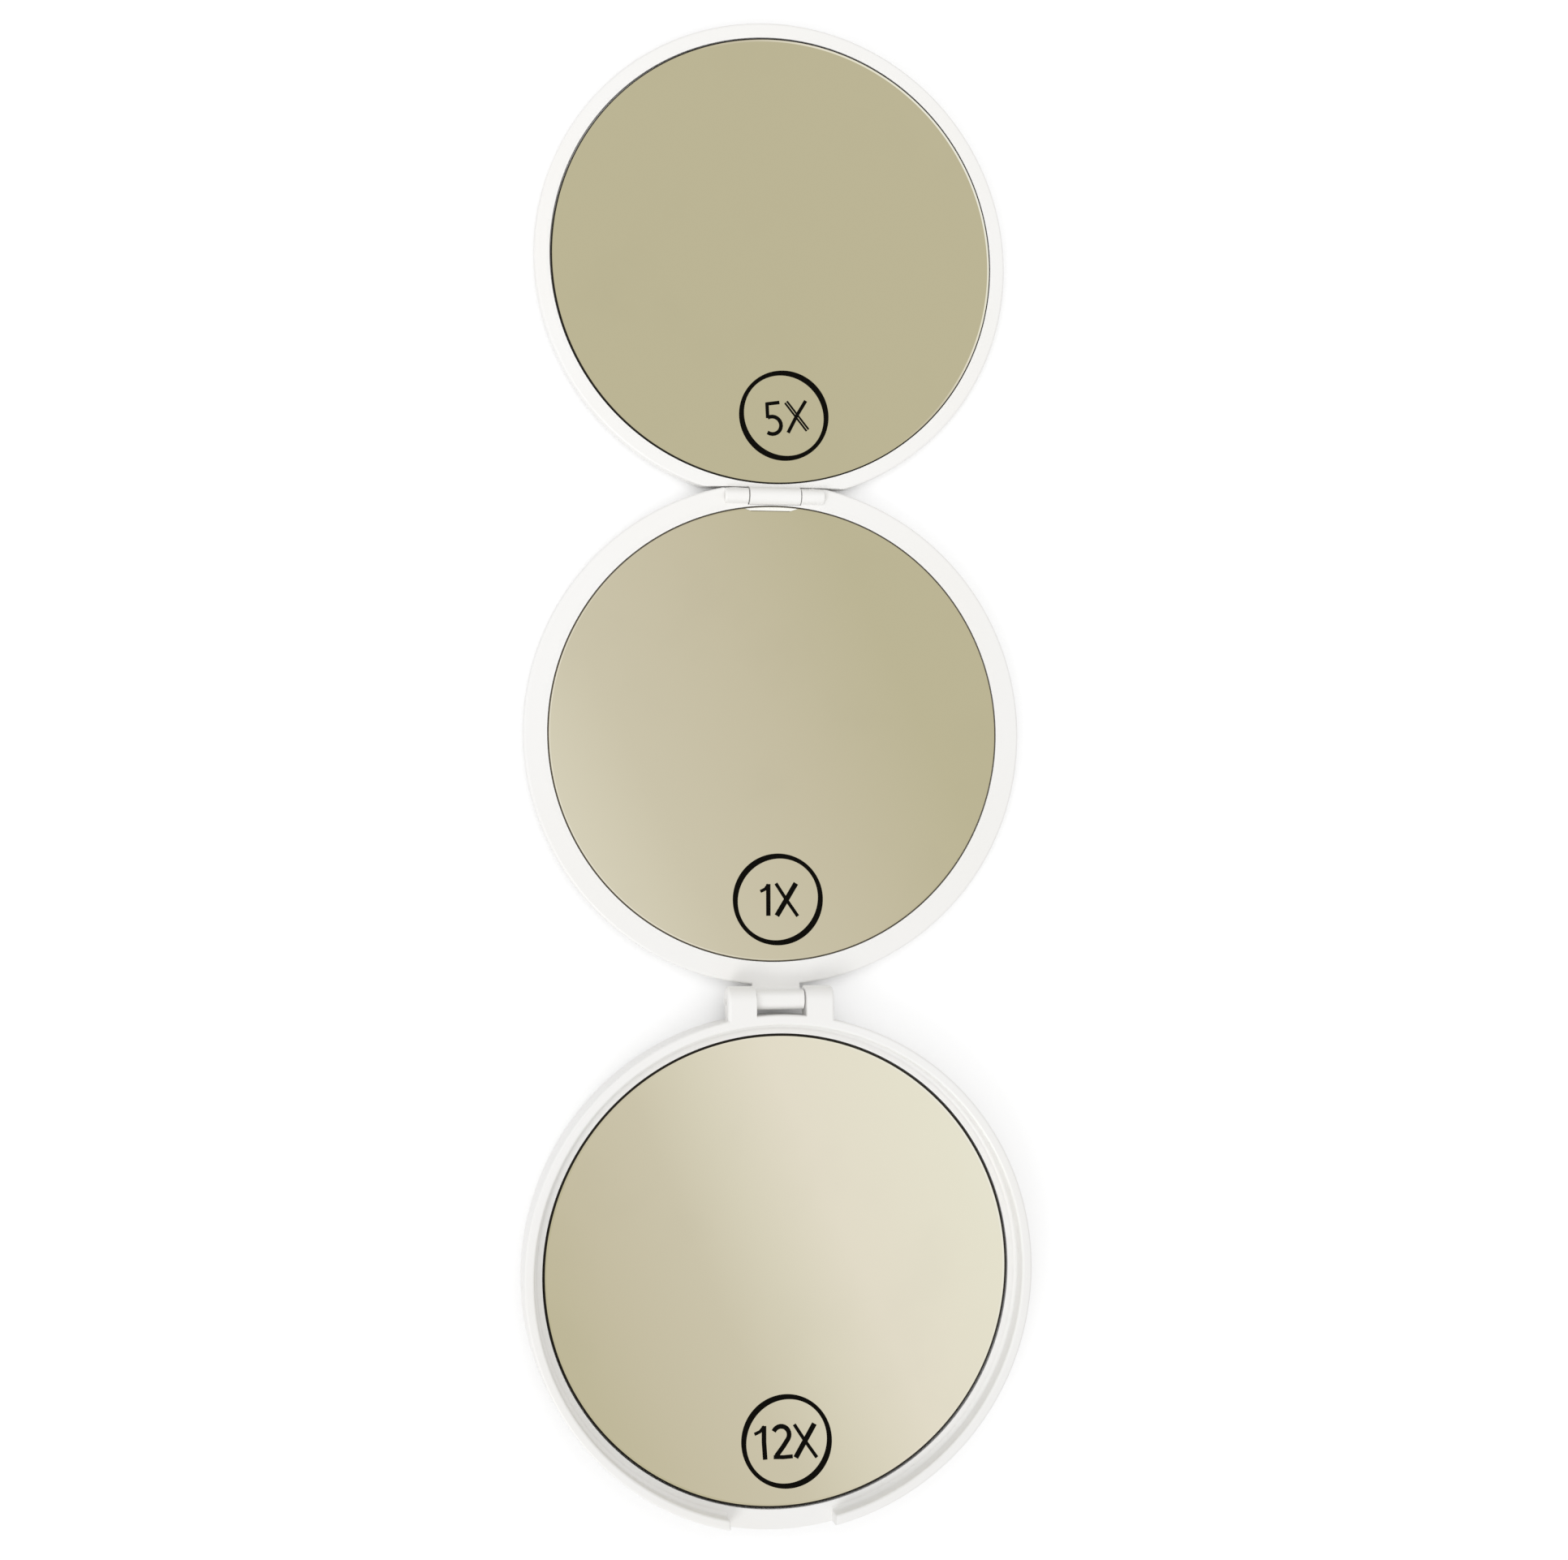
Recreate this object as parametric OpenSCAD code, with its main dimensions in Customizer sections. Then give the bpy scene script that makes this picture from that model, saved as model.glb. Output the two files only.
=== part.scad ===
// Folding compact with three round mirrors, lying open and flat.
// The base is a tray with a raised rim, the lid hinges on the base, and the leaf hinges on the lid.
// Closed, the leaf lies face to face on the lid, and both turn over so that the leaf drops in the tray.
// Millimetres. +Z is up, +Y runs from the base to the leaf, and z = 0 is what the open compact lies on.
// The origin is the centre of the base's underside.

/* [Discs] */
// Outer diameter of the base
base_d = 85.8; // [78:0.2:100]
// How far the lid's edge stands inside the base's edge
lid_inset = 0.5; // [0:0.1:0.8]
// Play around the leaf inside the base's rim, on the radius
leaf_play = 0.7; // [0.5:0.1:1.2]
// Thickness of the base's rim
rim_t = 1.7; // [1.2:0.1:2.2]
// Width of the ledge between the rim and the base's mirror
ledge_w = 1.6; // [1.2:0.1:3]
// Width of the ring around the lid's mirror
lid_ring_w = 3.9; // [3.5:0.1:6]
// Plastic left between the leaf's mirror recess and its hinge edge
leaf_wall = 0.55; // [0.4:0.05:1]

/* [Mirrors] */
// Thickness of the mirror glass in the base and the lid
glass_t = 1.2; // [1:0.1:1.6]
// Thickness of the mirror glass in the leaf
leaf_glass_t = 1.0; // [0.8:0.1:1.4]
// Gap around each glass in its recess
glass_gap = 0.2; // [0.1:0.05:0.3]
// How far the edge of each glass lies below the plastic around it
glass_sink = 0.05; // [0:0.05:0.2]
// Width of the ground bevel around each glass
glass_bevel = 0.25; // [0.1:0.05:0.4]
// Radius of the hollow of the base's mirror, which magnifies twelve times
base_curve_r = 320; // [260:10:600]
// Radius of the hollow of the leaf's mirror, which magnifies five times
leaf_curve_r = 620; // [500:10:900]
// Thickness of the glue tape at the edge of each glass
tape_t = 0.3; // [0.2:0.05:0.5]
// Width of the glue tape ring under each hollow glass
tape_w = 2.4; // [1.5:0.1:3]
// Diameter of the foam dot under the middle of each hollow glass
dot_d = 14; // [8:1:24]

/* [Shells] */
// Thickness of the base's floor
base_floor_t = 1.1; // [0.9:0.1:1.6]
// Thickness of the lid's back cover
lid_cover_t = 0.9; // [0.7:0.1:1.4]
// Thickness of the leaf's back cover
leaf_cover_t = 0.6; // [0.5:0.1:1]
// Thickness of the web behind the lid's mirror
web_t = 0.75; // [0.6:0.05:1.2]
// Height of the base's foam dot, which is the free space under its mirror
base_dot_t = 0.3; // [0.2:0.1:0.6]
// Height of the leaf's foam dot, which is the free space under its mirror
leaf_dot_t = 0.15; // [0.1:0.05:0.4]
// Rounding of the edges that face outwards when the compact is closed
back_round = 1.2; // [0.6:0.1:1.4]
// Rounding of the rim of each face
face_round = 0.4; // [0.2:0.05:0.5]
// Rounding of the base's lower edge
foot_round = 2.2; // [1:0.1:2.6]
// Thickness of the shelf under the base's mirror
shelf_t = 0.9; // [0.7:0.1:1.4]
// Thickness of the shelf's inner skirt
skirt_t = 1.0; // [0.8:0.1:1.4]
// Gap of the seam between two mouldings
seam = 0.05; // [0.02:0.01:0.1]
// Diameter of the pegs that join the mouldings
peg_d = 1.4; // [1:0.1:1.8]
// Number of pegs in each disc
peg_count = 8; // [4:1:12]

/* [Fold] */
// Gap between the lid's face and the base's rim when closed
seat_gap = 0.1; // [0.05:0.05:0.3]
// Gap between the faces of the lid and the leaf when folded
face_gap = 0.3; // [0.2:0.05:0.6]
// Gap under the leaf when it lies in the tray
nest_gap = 0.4; // [0.3:0.05:0.8]
// Gap between pieces that turn past each other
turn_gap = 0.2; // [0.15:0.05:0.3]

/* [Lower hinge] */
// Width of the lid's knuckle
knuckle_w = 8.1; // [6:0.1:12]
// Width of each ear of the base
ear_w = 4.75; // [3:0.05:7]
// Radius of the lid's knuckle
knuckle_r = 1.6; // [1.4:0.1:2]
// Gap between the base's rim and the lid's knuckle
knuckle_gap = 0.5; // [0.2:0.1:1]
// Diameter of the hinge pin
lower_pin_d = 1.2; // [1:0.1:1.4]
// Rounding of the outer ends of the ears
ear_round = 0.6; // [0.3:0.1:0.9]

/* [Upper hinge] */
// Width of the leaf's tongue
tongue_w = 8.7; // [6:0.1:12]
// Width of each ear of the lid
lug_w = 4.0; // [3:0.1:6]
// Radius of the hinge barrel
barrel_r = 1.3; // [1.2:0.05:1.5]
// Plastic left between the lid's mirror recess and the barrel
barrel_wall = 0.3; // [0.25:0.05:1]
// Thickness of the neck between the tongue and the leaf
tongue_t = 1.2; // [0.9:0.1:1.3]
// Diameter of the hinge pin
upper_pin_d = 1.0; // [0.8:0.1:1.2]

/* [Hidden] */
$fn = 96;
arc_fn = 1440;    // for the long arcs of the hollow mirrors
cut = 100;        // longer than any piece, for tools that cut right through
lap = 0.5;        // how far joined shapes run into each other
skin = 0.01;      // play of a pin in the ears that hold it
run = 0.05;       // play of a pin in the bore that turns on it
edge = 0.1;       // rounding of small edges

plastic = [0.95, 0.95, 0.94];
silver = [0.75, 0.72, 0.60];
steel = [0.70, 0.71, 0.72];
foam = [0.55, 0.55, 0.54];

// Radii
base_r = base_d / 2;
well_r = base_r - rim_t;
lid_r = base_r - lid_inset;
leaf_r = well_r - leaf_play;
base_seat_r = well_r - ledge_w;
lid_seat_r = lid_r - lid_ring_w;
upper_reach = lid_seat_r + barrel_wall + barrel_r;
lid_chord = upper_reach + barrel_r + seam;
leaf_chord = 2 * upper_reach - lid_chord - turn_gap;
leaf_seat_r = leaf_chord - leaf_wall;
base_glass_r = base_seat_r - glass_gap;
lid_glass_r = lid_seat_r - glass_gap;
leaf_glass_r = leaf_seat_r - glass_gap;

// Pegs stand halfway across the shelves of the base and the leaf, and beside the lid's recess wall
base_peg_r = base_seat_r - tape_w / 2;
lid_peg_r = lid_seat_r - 2 * peg_d;
leaf_peg_r = leaf_seat_r - (tape_w + skirt_t) / 2;

// Depth of a hollow of radius curve_r out to radius r
function sag(curve_r, r) = curve_r - sqrt(curve_r * curve_r - r * r);
// Height of the back of a hollow glass at a distance x from its middle. The glass has radius r and
// thickness t, and the edge of its face is at height h.
function back_h(x, r, h, curve_r, t) = h + curve_r - sag(curve_r, r) - sqrt(pow(curve_r + t, 2) - x * x);
// Height of the shelf that carries such a glass on a ring of tape
function shelf_h(r, h, curve_r, t) = back_h(r - tape_w, r, h, curve_r, t) - tape_t;
base_sag = sag(base_curve_r, base_glass_r);
leaf_sag = sag(leaf_curve_r, leaf_glass_r);

// Heights
bezel_h = base_floor_t + base_dot_t + base_sag + glass_t + glass_sink;
lid_t = lid_cover_t + seam + web_t + tape_t + glass_t + glass_sink;
leaf_t = leaf_cover_t + leaf_dot_t + leaf_sag + leaf_glass_t + glass_sink;
base_h = bezel_h + nest_gap + leaf_t + face_gap - seat_gap;
base_shelf_h = shelf_h(base_glass_r, bezel_h - glass_sink, base_curve_r, glass_t);
leaf_shelf_h = shelf_h(leaf_glass_r, leaf_t - glass_sink, leaf_curve_r, leaf_glass_t);
lid_web_h = lid_cover_t + seam + web_t;
lid_seam_h = lid_web_h - web_t / 3;
leaf_seam_h = (leaf_cover_t + leaf_shelf_h) / 2;

// Hinge axes: each lies as far from one disc's centre as from the other's, so that closed discs line up
lower_reach = base_r + knuckle_gap + knuckle_r;
lower_z = (base_h + seat_gap + lid_t) / 2;
ear_r = base_h - lower_z;
ear_in = knuckle_w / 2 + turn_gap;
ear_out = ear_in + ear_w;
upper_z = (lid_t + face_gap + leaf_t) / 2;
lug_in = tongue_w / 2 + turn_gap;
lug_out = lug_in + lug_w;
notch_half = lug_out + 2 * turn_gap;
lid_y = 2 * lower_reach;
leaf_y = lid_y + 2 * upper_reach;
lower_pin_l = 2 * ear_out - ear_round;
upper_pin_l = 2 * lug_out - face_round;

// Section of a round disc from z0 to z1, with its lower and its upper outer edge rounded
module disc_section(r, z0, z1, low_round, high_round) {
    translate([0, z0 + low_round]) square([r, z1 - z0 - low_round - high_round]);
    translate([0, z0 + low_round]) square([r - high_round, z1 - z0 - low_round]);
    translate([0, z0]) square([r - low_round, z1 - z0 - high_round]);
    translate([r - low_round, z0 + low_round]) circle(low_round);
    translate([r - high_round, z1 - high_round]) circle(high_round);
}

// Section of a ring from z0 to z1
module ring_section(r_in, r_out, z0, z1) {
    translate([r_in, z0]) square([r_out - r_in, z1 - z0]);
}

// Section of everything between two heights
module band(z0, z1) {
    ring_section(0, cut, z0, z1);
}

// Section of the space above the sphere that lies a distance t behind the face of a hollow glass
module above_sphere(r, h, curve_r, t) {
    translate([0, h + curve_r - sag(curve_r, r)]) circle(curve_r + t, $fn = arc_fn);
}

// Section of a hollow glass of even thickness, with a ground bevel around its face
module hollow_glass_section(r, h, curve_r, t) {
    difference() {
        intersection() {
            above_sphere(r, h, curve_r, t);
            ring_section(0, r, h - t - sag(curve_r, r) - lap, h);
        }
        above_sphere(r, h, curve_r, 0);
        bevel_section(r, h);
    }
}

// Section of what the ground bevel takes off the edge of a glass
module bevel_section(r, h) {
    polygon([[r - glass_bevel, h + lap], [r - glass_bevel, h], [r, h - glass_bevel], [r + lap, h - glass_bevel],
             [r + lap, h + lap]]);
}

// Section of the glue tape from a shelf up to the back of a hollow glass
module hollow_tape_section(r, h, curve_r, t, shelf_h) {
    x0 = r - tape_w;
    x1 = r - tape_t;
    polygon([[x0, shelf_h], [x1, shelf_h], [x1, back_h(x1, r, h, curve_r, t)], [x0, back_h(x0, r, h, curve_r, t)]]);
}

// Solid of a section that turns about a disc's own centre
module turned() {
    rotate_extrude() children();
}

// Round bar along X from x0 to x1, with rounded ends
module bar(r, x0, x1, round0, round1) {
    rotate([0, 90, 0]) rotate_extrude($fn = 64) disc_section(r, x0, x1, round0, round1);
}

// Bore along X, open at both ends
module bore(r) {
    rotate([0, 90, 0]) cylinder(r = r, h = cut, center = true, $fn = 64);
}

// Outline in the Y-Z plane, made solid from x0 to x1
module across(x0, x1) {
    translate([x0, 0, 0]) rotate([90, 0, 90]) linear_extrude(x1 - x0) children();
}

// Both mirror-image copies of a shape on the +X side
module both_sides() {
    children();
    mirror([1, 0, 0]) children();
}

// Copies of a shape around a disc's centre
module around(count) {
    for (i = [0 : count - 1]) rotate([0, 0, (i + 0.5) * 360 / count]) children();
}

module peg_ring(r, z0, z1, d) {
    around(peg_count) translate([r, 0, z0]) cylinder(d = d, h = z1 - z0, $fn = 32);
}

// Where a line from point p touches the circle of radius r about the origin, on the side given
function touch(p, r, side) =
    let (a = atan2(p[1], p[0]) + side * acos(r / norm(p))) [r * cos(a), r * sin(a)];

module at_lid() { translate([0, lid_y, 0]) children(); }
module at_leaf() { translate([0, leaf_y, 0]) children(); }
module at_lower_axis() { translate([0, lower_reach, lower_z]) children(); }
module at_upper_axis() { translate([0, lid_y + upper_reach, upper_z]) children(); }

// Base

// Ear of the base: a bar about the axis, and an arm from the rim, flush with the rim's top
module ear() {
    arm_low = -ear_r / 2;
    bar(ear_r, ear_in, ear_out, edge, ear_round);
    intersection() {
        across(ear_in, ear_out)
            translate([-lower_reach, arm_low]) square([lower_reach, ear_r - arm_low]);
        rotate([90, 0, 0]) linear_extrude(3 * cut, center = true) {
            translate([ear_in, -ear_r]) square([ear_w, 2 * ear_r - ear_round]);
            translate([ear_in, -ear_r]) square([ear_w - ear_round, 2 * ear_r]);
            translate([ear_out - ear_round, ear_r - ear_round]) circle(ear_round);
        }
    }
}

// Gap in the front of the rim, which takes the upper hinge when the compact is closed
module rim_notch() {
    translate([-notch_half, -cut, bezel_h]) cube([2 * notch_half, cut, cut]);
}

// Rim and floor of the base, with a bevel around the rim's inner edge
module base_bowl() {
    turned() difference() {
        disc_section(base_r, 0, base_h, foot_round, face_round);
        ring_section(0, well_r, base_floor_t, cut);
        polygon([[well_r - lap, base_h + lap], [well_r - lap, base_h - face_round],
                 [well_r, base_h - face_round], [well_r + face_round, base_h],
                 [well_r + face_round, base_h + lap]]);
    }
}

module base_shell() {
    color(plastic) difference() {
        union() {
            difference() {
                base_bowl();
                rim_notch();
            }
            difference() {
                at_lower_axis() both_sides() ear();
                cylinder(r = well_r + rim_t / 2, h = cut);
            }
            peg_ring(base_peg_r, base_floor_t - lap, base_shelf_h, peg_d);
        }
        at_lower_axis() bore(lower_pin_d / 2 + skin);
    }
}

// Ring inside the rim: its wall's top is the ledge, and its shelf carries the mirror
module base_tray() {
    shelf_in = base_seat_r - tape_w - skirt_t;
    color(plastic) difference() {
        turned() {
            ring_section(base_seat_r, well_r - seam, base_floor_t, bezel_h);
            ring_section(shelf_in, base_seat_r + lap, base_shelf_h - shelf_t, base_shelf_h);
            ring_section(shelf_in, shelf_in + skirt_t, base_floor_t, base_shelf_h);
        }
        peg_ring(base_peg_r, base_floor_t - lap, cut, peg_d + 2 * seam);
    }
}

module base_glue_tape() {
    color(foam) turned()
        hollow_tape_section(base_glass_r, bezel_h - glass_sink, base_curve_r, glass_t, base_shelf_h);
}

module base_foam_dot() {
    color(foam) translate([0, 0, base_floor_t]) cylinder(d = dot_d, h = base_dot_t - seam);
}

module mirror_12x() {
    color(silver) turned() hollow_glass_section(base_glass_r, bezel_h - glass_sink, base_curve_r, glass_t);
}

module lower_hinge_pin() {
    color(steel) at_lower_axis() bar(lower_pin_d / 2, -lower_pin_l / 2, lower_pin_l / 2, skin, skin);
}

// Lid

// Section of the whole lid, cover and frame together
module lid_section() {
    disc_section(lid_r, 0, lid_t, back_round, face_round);
}

// Outer edge of the lid beside the leaf, cut straight in line with the barrel
module lid_edge_cut() {
    translate([-cut, lid_chord, -cut]) cube([2 * cut, cut, 3 * cut]);
}

module lid_cover() {
    color(plastic) at_lid() {
        difference() {
            turned() difference() {
                intersection() {
                    lid_section();
                    band(-lap, lid_seam_h);
                }
                ring_section(0, lid_seat_r + lap, lid_cover_t, cut);
            }
            lid_edge_cut();
        }
        peg_ring(lid_peg_r, lid_cover_t - lap, lid_web_h, peg_d);
    }
}

// Lid's knuckle between the ears of the base, and the neck from it over the base's rim to the lid's edge
module knuckle() {
    neck = lower_reach - lid_r;
    root = neck + lap + face_round;
    face = lid_t - lower_z;
    under = lid_seam_h + 2 * seam - lower_z;
    heel = [neck / 2, under];
    bar(knuckle_r, -knuckle_w / 2, knuckle_w / 2, edge, edge);
    across(-knuckle_w / 2, knuckle_w / 2)
        polygon([[root, face], [knuckle_r, face], [knuckle_r, 0], [0, 0], touch(heel, knuckle_r, -1), heel,
                 [root, under]]);
}

// Space in the lid's ring for the leaf's tongue, which swings up and over
module tongue_space() {
    gap_r = barrel_r + barrel_wall / 2;
    floor_z = lid_seam_h - upper_z;
    translate([-lug_in, 0, 0]) rotate([0, 90, 0]) cylinder(r = gap_r, h = 2 * lug_in, $fn = 64);
    translate([-lug_in, 0, floor_z]) cube([2 * lug_in, cut, cut]);
}

module lid_frame() {
    color(plastic) difference() {
        union() {
            difference() {
                at_lid() difference() {
                    turned() difference() {
                        union() {
                            intersection() {
                                lid_section();
                                band(lid_seam_h + seam, cut);
                            }
                            ring_section(0, lid_seat_r + lap - seam, lid_cover_t + seam, lid_seam_h + lap);
                        }
                        ring_section(0, lid_seat_r, lid_web_h, cut);
                    }
                    lid_edge_cut();
                    peg_ring(lid_peg_r, 0, cut, peg_d + 2 * seam);
                }
                at_upper_axis() tongue_space();
            }
            at_upper_axis() both_sides() bar(barrel_r, lug_in, lug_out, edge, face_round);
            at_lower_axis() knuckle();
        }
        at_lower_axis() bore(lower_pin_d / 2 + run);
        at_upper_axis() bore(upper_pin_d / 2 + skin);
    }
}

module lid_glue_tape() {
    color(foam) at_lid() translate([0, 0, lid_web_h]) cylinder(r = lid_glass_r - tape_w, h = tape_t);
}

module mirror_1x() {
    h = lid_t - glass_sink;
    color(silver) at_lid() turned() difference() {
        ring_section(0, lid_glass_r, h - glass_t, h);
        bevel_section(lid_glass_r, h);
    }
}

module upper_hinge_pin() {
    color(steel) at_upper_axis() bar(upper_pin_d / 2, -upper_pin_l / 2, upper_pin_l / 2, skin, skin);
}

// Leaf

// Section of the whole leaf, cover and frame together
module leaf_section() {
    disc_section(leaf_r, 0, leaf_t, min(back_round, leaf_t / 3), face_round);
}

// Outer edge of the leaf beside the lid, cut straight so that it clears the lid's ears
module leaf_edge_cut() {
    translate([-cut, -leaf_chord - cut, -cut]) cube([2 * cut, cut, 3 * cut]);
}

module leaf_cover() {
    color(plastic) at_leaf() {
        difference() {
            turned() difference() {
                intersection() {
                    leaf_section();
                    band(-lap, leaf_seam_h);
                }
                ring_section(0, leaf_seat_r, leaf_cover_t, cut);
            }
            leaf_edge_cut();
        }
        peg_ring(leaf_peg_r, leaf_cover_t - lap, leaf_shelf_h, peg_d);
    }
}

// Leaf's tongue: a bar about the axis between the lid's ears, and a neck to the leaf's edge
module tongue() {
    face = leaf_t - upper_z;
    root = upper_reach - leaf_chord + leaf_wall / 2;
    bar(barrel_r, -tongue_w / 2, tongue_w / 2, edge, edge);
    across(-tongue_w / 2, tongue_w / 2)
        polygon([[0, face], [root, face], [root, face - tongue_t], [0, face - tongue_t]]);
}

module leaf_frame() {
    color(plastic) difference() {
        union() {
            at_leaf() difference() {
                turned() difference() {
                    union() {
                        intersection() {
                            leaf_section();
                            band(leaf_seam_h + seam, cut);
                        }
                        ring_section(0, leaf_seat_r - seam, leaf_cover_t + seam, leaf_seam_h + 2 * seam);
                    }
                    ring_section(0, leaf_seat_r, leaf_shelf_h, cut);
                    ring_section(-lap, leaf_seat_r - tape_w - skirt_t, -cut, cut);
                }
                leaf_edge_cut();
                peg_ring(leaf_peg_r, 0, cut, peg_d + 2 * seam);
            }
            at_upper_axis() tongue();
        }
        at_upper_axis() bore(upper_pin_d / 2 + run);
    }
}

module leaf_glue_tape() {
    color(foam) at_leaf() turned()
        hollow_tape_section(leaf_glass_r, leaf_t - glass_sink, leaf_curve_r, leaf_glass_t, leaf_shelf_h);
}

module leaf_foam_dot() {
    color(foam) at_leaf() translate([0, 0, leaf_cover_t]) cylinder(d = dot_d, h = leaf_dot_t - seam);
}

module mirror_5x() {
    color(silver) at_leaf() turned()
        hollow_glass_section(leaf_glass_r, leaf_t - glass_sink, leaf_curve_r, leaf_glass_t);
}

base_shell();
base_tray();
base_glue_tape();
base_foam_dot();
mirror_12x();
lower_hinge_pin();
lid_cover();
lid_frame();
lid_glue_tape();
mirror_1x();
upper_hinge_pin();
leaf_cover();
leaf_frame();
leaf_glue_tape();
leaf_foam_dot();
mirror_5x();
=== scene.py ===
# %% [markdown]
# # A folding compact with three round mirrors
#
# The compact lies open and flat, as in a shop photograph: the base at the bottom, the lid in the
# middle and the thin leaf at the top. A CAD model gives every piece its exact size and place. This
# lesson loads that model as a fixed frame and gives it its looks: the shaped edges of the mouldings,
# the silvered glass, the printed marks, and the light that falls on them.
#
# First the frame is loaded. It is in metres, the base's centre is the origin, Y runs from the base
# to the leaf, and Z points up. Sizes on a compact are thought of in millimetres, so one value turns
# those into metres wherever a size is written.

# %% Load the frame
import math

import bpy
from mathutils import Matrix, Vector


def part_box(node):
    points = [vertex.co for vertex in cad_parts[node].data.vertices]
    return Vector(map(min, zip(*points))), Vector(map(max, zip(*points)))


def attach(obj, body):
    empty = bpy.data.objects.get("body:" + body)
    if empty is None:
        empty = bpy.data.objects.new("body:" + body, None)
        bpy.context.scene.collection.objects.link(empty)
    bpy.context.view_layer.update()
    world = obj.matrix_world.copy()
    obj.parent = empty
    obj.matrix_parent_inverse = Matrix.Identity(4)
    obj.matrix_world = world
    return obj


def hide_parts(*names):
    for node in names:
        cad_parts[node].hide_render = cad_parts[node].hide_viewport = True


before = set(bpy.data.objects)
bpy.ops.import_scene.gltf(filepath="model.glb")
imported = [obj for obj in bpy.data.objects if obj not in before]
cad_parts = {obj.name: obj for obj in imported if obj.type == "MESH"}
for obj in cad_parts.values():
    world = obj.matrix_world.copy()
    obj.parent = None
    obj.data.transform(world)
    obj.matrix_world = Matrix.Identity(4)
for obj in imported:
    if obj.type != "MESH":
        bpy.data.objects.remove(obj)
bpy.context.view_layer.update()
MM = 0.001
for name in sorted(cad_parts):
    low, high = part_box(name)
    print(name, [round(v / MM, 2) for v in low], [round(v / MM, 2) for v in high])

# %% [markdown]
# The photograph was taken from 45 centimetres above the compact and a little to its left. The place,
# turn and lens were worked out from the outlines of the three mirrors, whose real sizes are known
# from the frame. The camera's turn is built from three small turns, and its matrix is the inverse
# of world-to-camera.

# %% Camera
PHOTO_WIDTH = 1932
SENSOR = 36
FOCAL_PIXELS = 3325.1
CAMERA_PLACE = Vector((-85.49, 71.27, 450)) * MM
CAMERA_TURNS = (("Z", 0.179), ("X", -1.366), ("Y", 11.018))
camera_data = bpy.data.cameras.new("photo_camera")
camera_data.sensor_fit = "HORIZONTAL"
camera_data.sensor_width = SENSOR
camera_data.lens = FOCAL_PIXELS / PHOTO_WIDTH * SENSOR
camera_data.clip_start = 0.01
camera = bpy.data.objects.new("photo_camera", camera_data)
to_camera = Matrix.Identity(4)
for axis, degrees in CAMERA_TURNS:
    to_camera = to_camera @ Matrix.Rotation(math.radians(degrees), 4, axis)
camera.matrix_world = Matrix.Translation(CAMERA_PLACE) @ to_camera.inverted()
bpy.context.scene.collection.objects.link(camera)
bpy.context.scene.camera = camera
print("lens", round(camera_data.lens, 2), "mm")

# %% [markdown]
# Colours are worked out with Blender's nodes. Adding them one by one makes long code, so one small
# class wraps a node's output: Python's own operators on it add Math nodes, and one method adds any
# other node.

# %% A wrapper for shader nodes
class Wire:
    """An output of a node. Operators on it add Math nodes, and node() adds any other node."""

    def __init__(self, tree, socket=None):
        self.tree = tree
        self.socket = socket

    def node(self, kind, settings=None, inputs=None, output=0):
        made = self.tree.nodes.new(kind)
        for key, value in (settings or {}).items():
            if key == "stops":
                ramp = made.color_ramp
                while len(ramp.elements) < len(value):
                    ramp.elements.new(1)
                for stop, (place, colour) in zip(ramp.elements, value):
                    stop.position = place
                    stop.color = (*colour, 1)
            else:
                setattr(made, key, value)
        for key, value in (inputs or {}).items():
            if isinstance(value, Wire):
                self.tree.links.new(value.socket, made.inputs[key])
            else:
                made.inputs[key].default_value = value
        return Wire(self.tree, made.outputs[output])

    def math(self, operation, a, b):
        return self.node("ShaderNodeMath", {"operation": operation}, {0: a, 1: b})

    def __add__(self, other):
        return self.math("ADD", self, other)

    def __sub__(self, other):
        return self.math("SUBTRACT", self, other)

    def __rsub__(self, other):
        return self.math("SUBTRACT", other, self)

    def __mul__(self, other):
        return self.math("MULTIPLY", self, other)

    def __truediv__(self, other):
        return self.math("DIVIDE", self, other)

    __radd__ = __add__
    __rmul__ = __mul__

    def smoothstep(self, low, high):
        """0 below low, 1 above high, and a soft step between."""
        return self.node("ShaderNodeMapRange", {"interpolation_type": "SMOOTHSTEP"},
                         {"Value": self, "From Min": low, "From Max": high})

    def mix(self, low, high):
        """A colour between low, where this is 0, and high, where it is 1."""
        return self.node("ShaderNodeMix", {"data_type": "RGBA"},
                         {0: self, 6: (*low, 1), 7: (*high, 1)}, output=2)


print("wrapper ready")

# %% [markdown]
# Every finish starts from Blender's all-round shader. A number that is the same all over is set on
# the shader itself, and only what changes over the surface comes through a wire. The noises are
# read on each piece's own coordinates, so a pattern stays on its piece when the compact folds.

# %% Materials, links and noise
def new_material(name, **constants):
    """A material whose shader has these constants, and the wire that starts its tree."""
    material = bpy.data.materials.new(name)
    material.use_nodes = True
    shader = material.node_tree.nodes["Principled BSDF"]
    for key, value in constants.items():
        shader.inputs[key.replace("_", " ")].default_value = value
    return material, Wire(material.node_tree), shader


def feed(shader, **wires):
    """Links wires to the shader's sockets."""
    for key, wire in wires.items():
        wire.tree.links.new(wire.socket, shader.inputs[key.replace("_", " ")])


def noise(wire, scale, detail=2.0):
    """Noise of about scale bumps to the metre, on the piece's own coordinates."""
    place = wire.node("ShaderNodeTexCoord", output=3)
    return wire.node("ShaderNodeTexNoise", None,
                     {"Vector": place, "Scale": scale, "Detail": detail})


print("material helpers ready")

# %% [markdown]
# The mouldings are white polystyrene or ABS with a gloss finish. Close up such plastic is never
# quite even: its white drifts slightly warm and cool, handling leaves patches that shine a bit less,
# and the polished mould leaves a very fine ripple. The material has all three, and each is weak.

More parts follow.
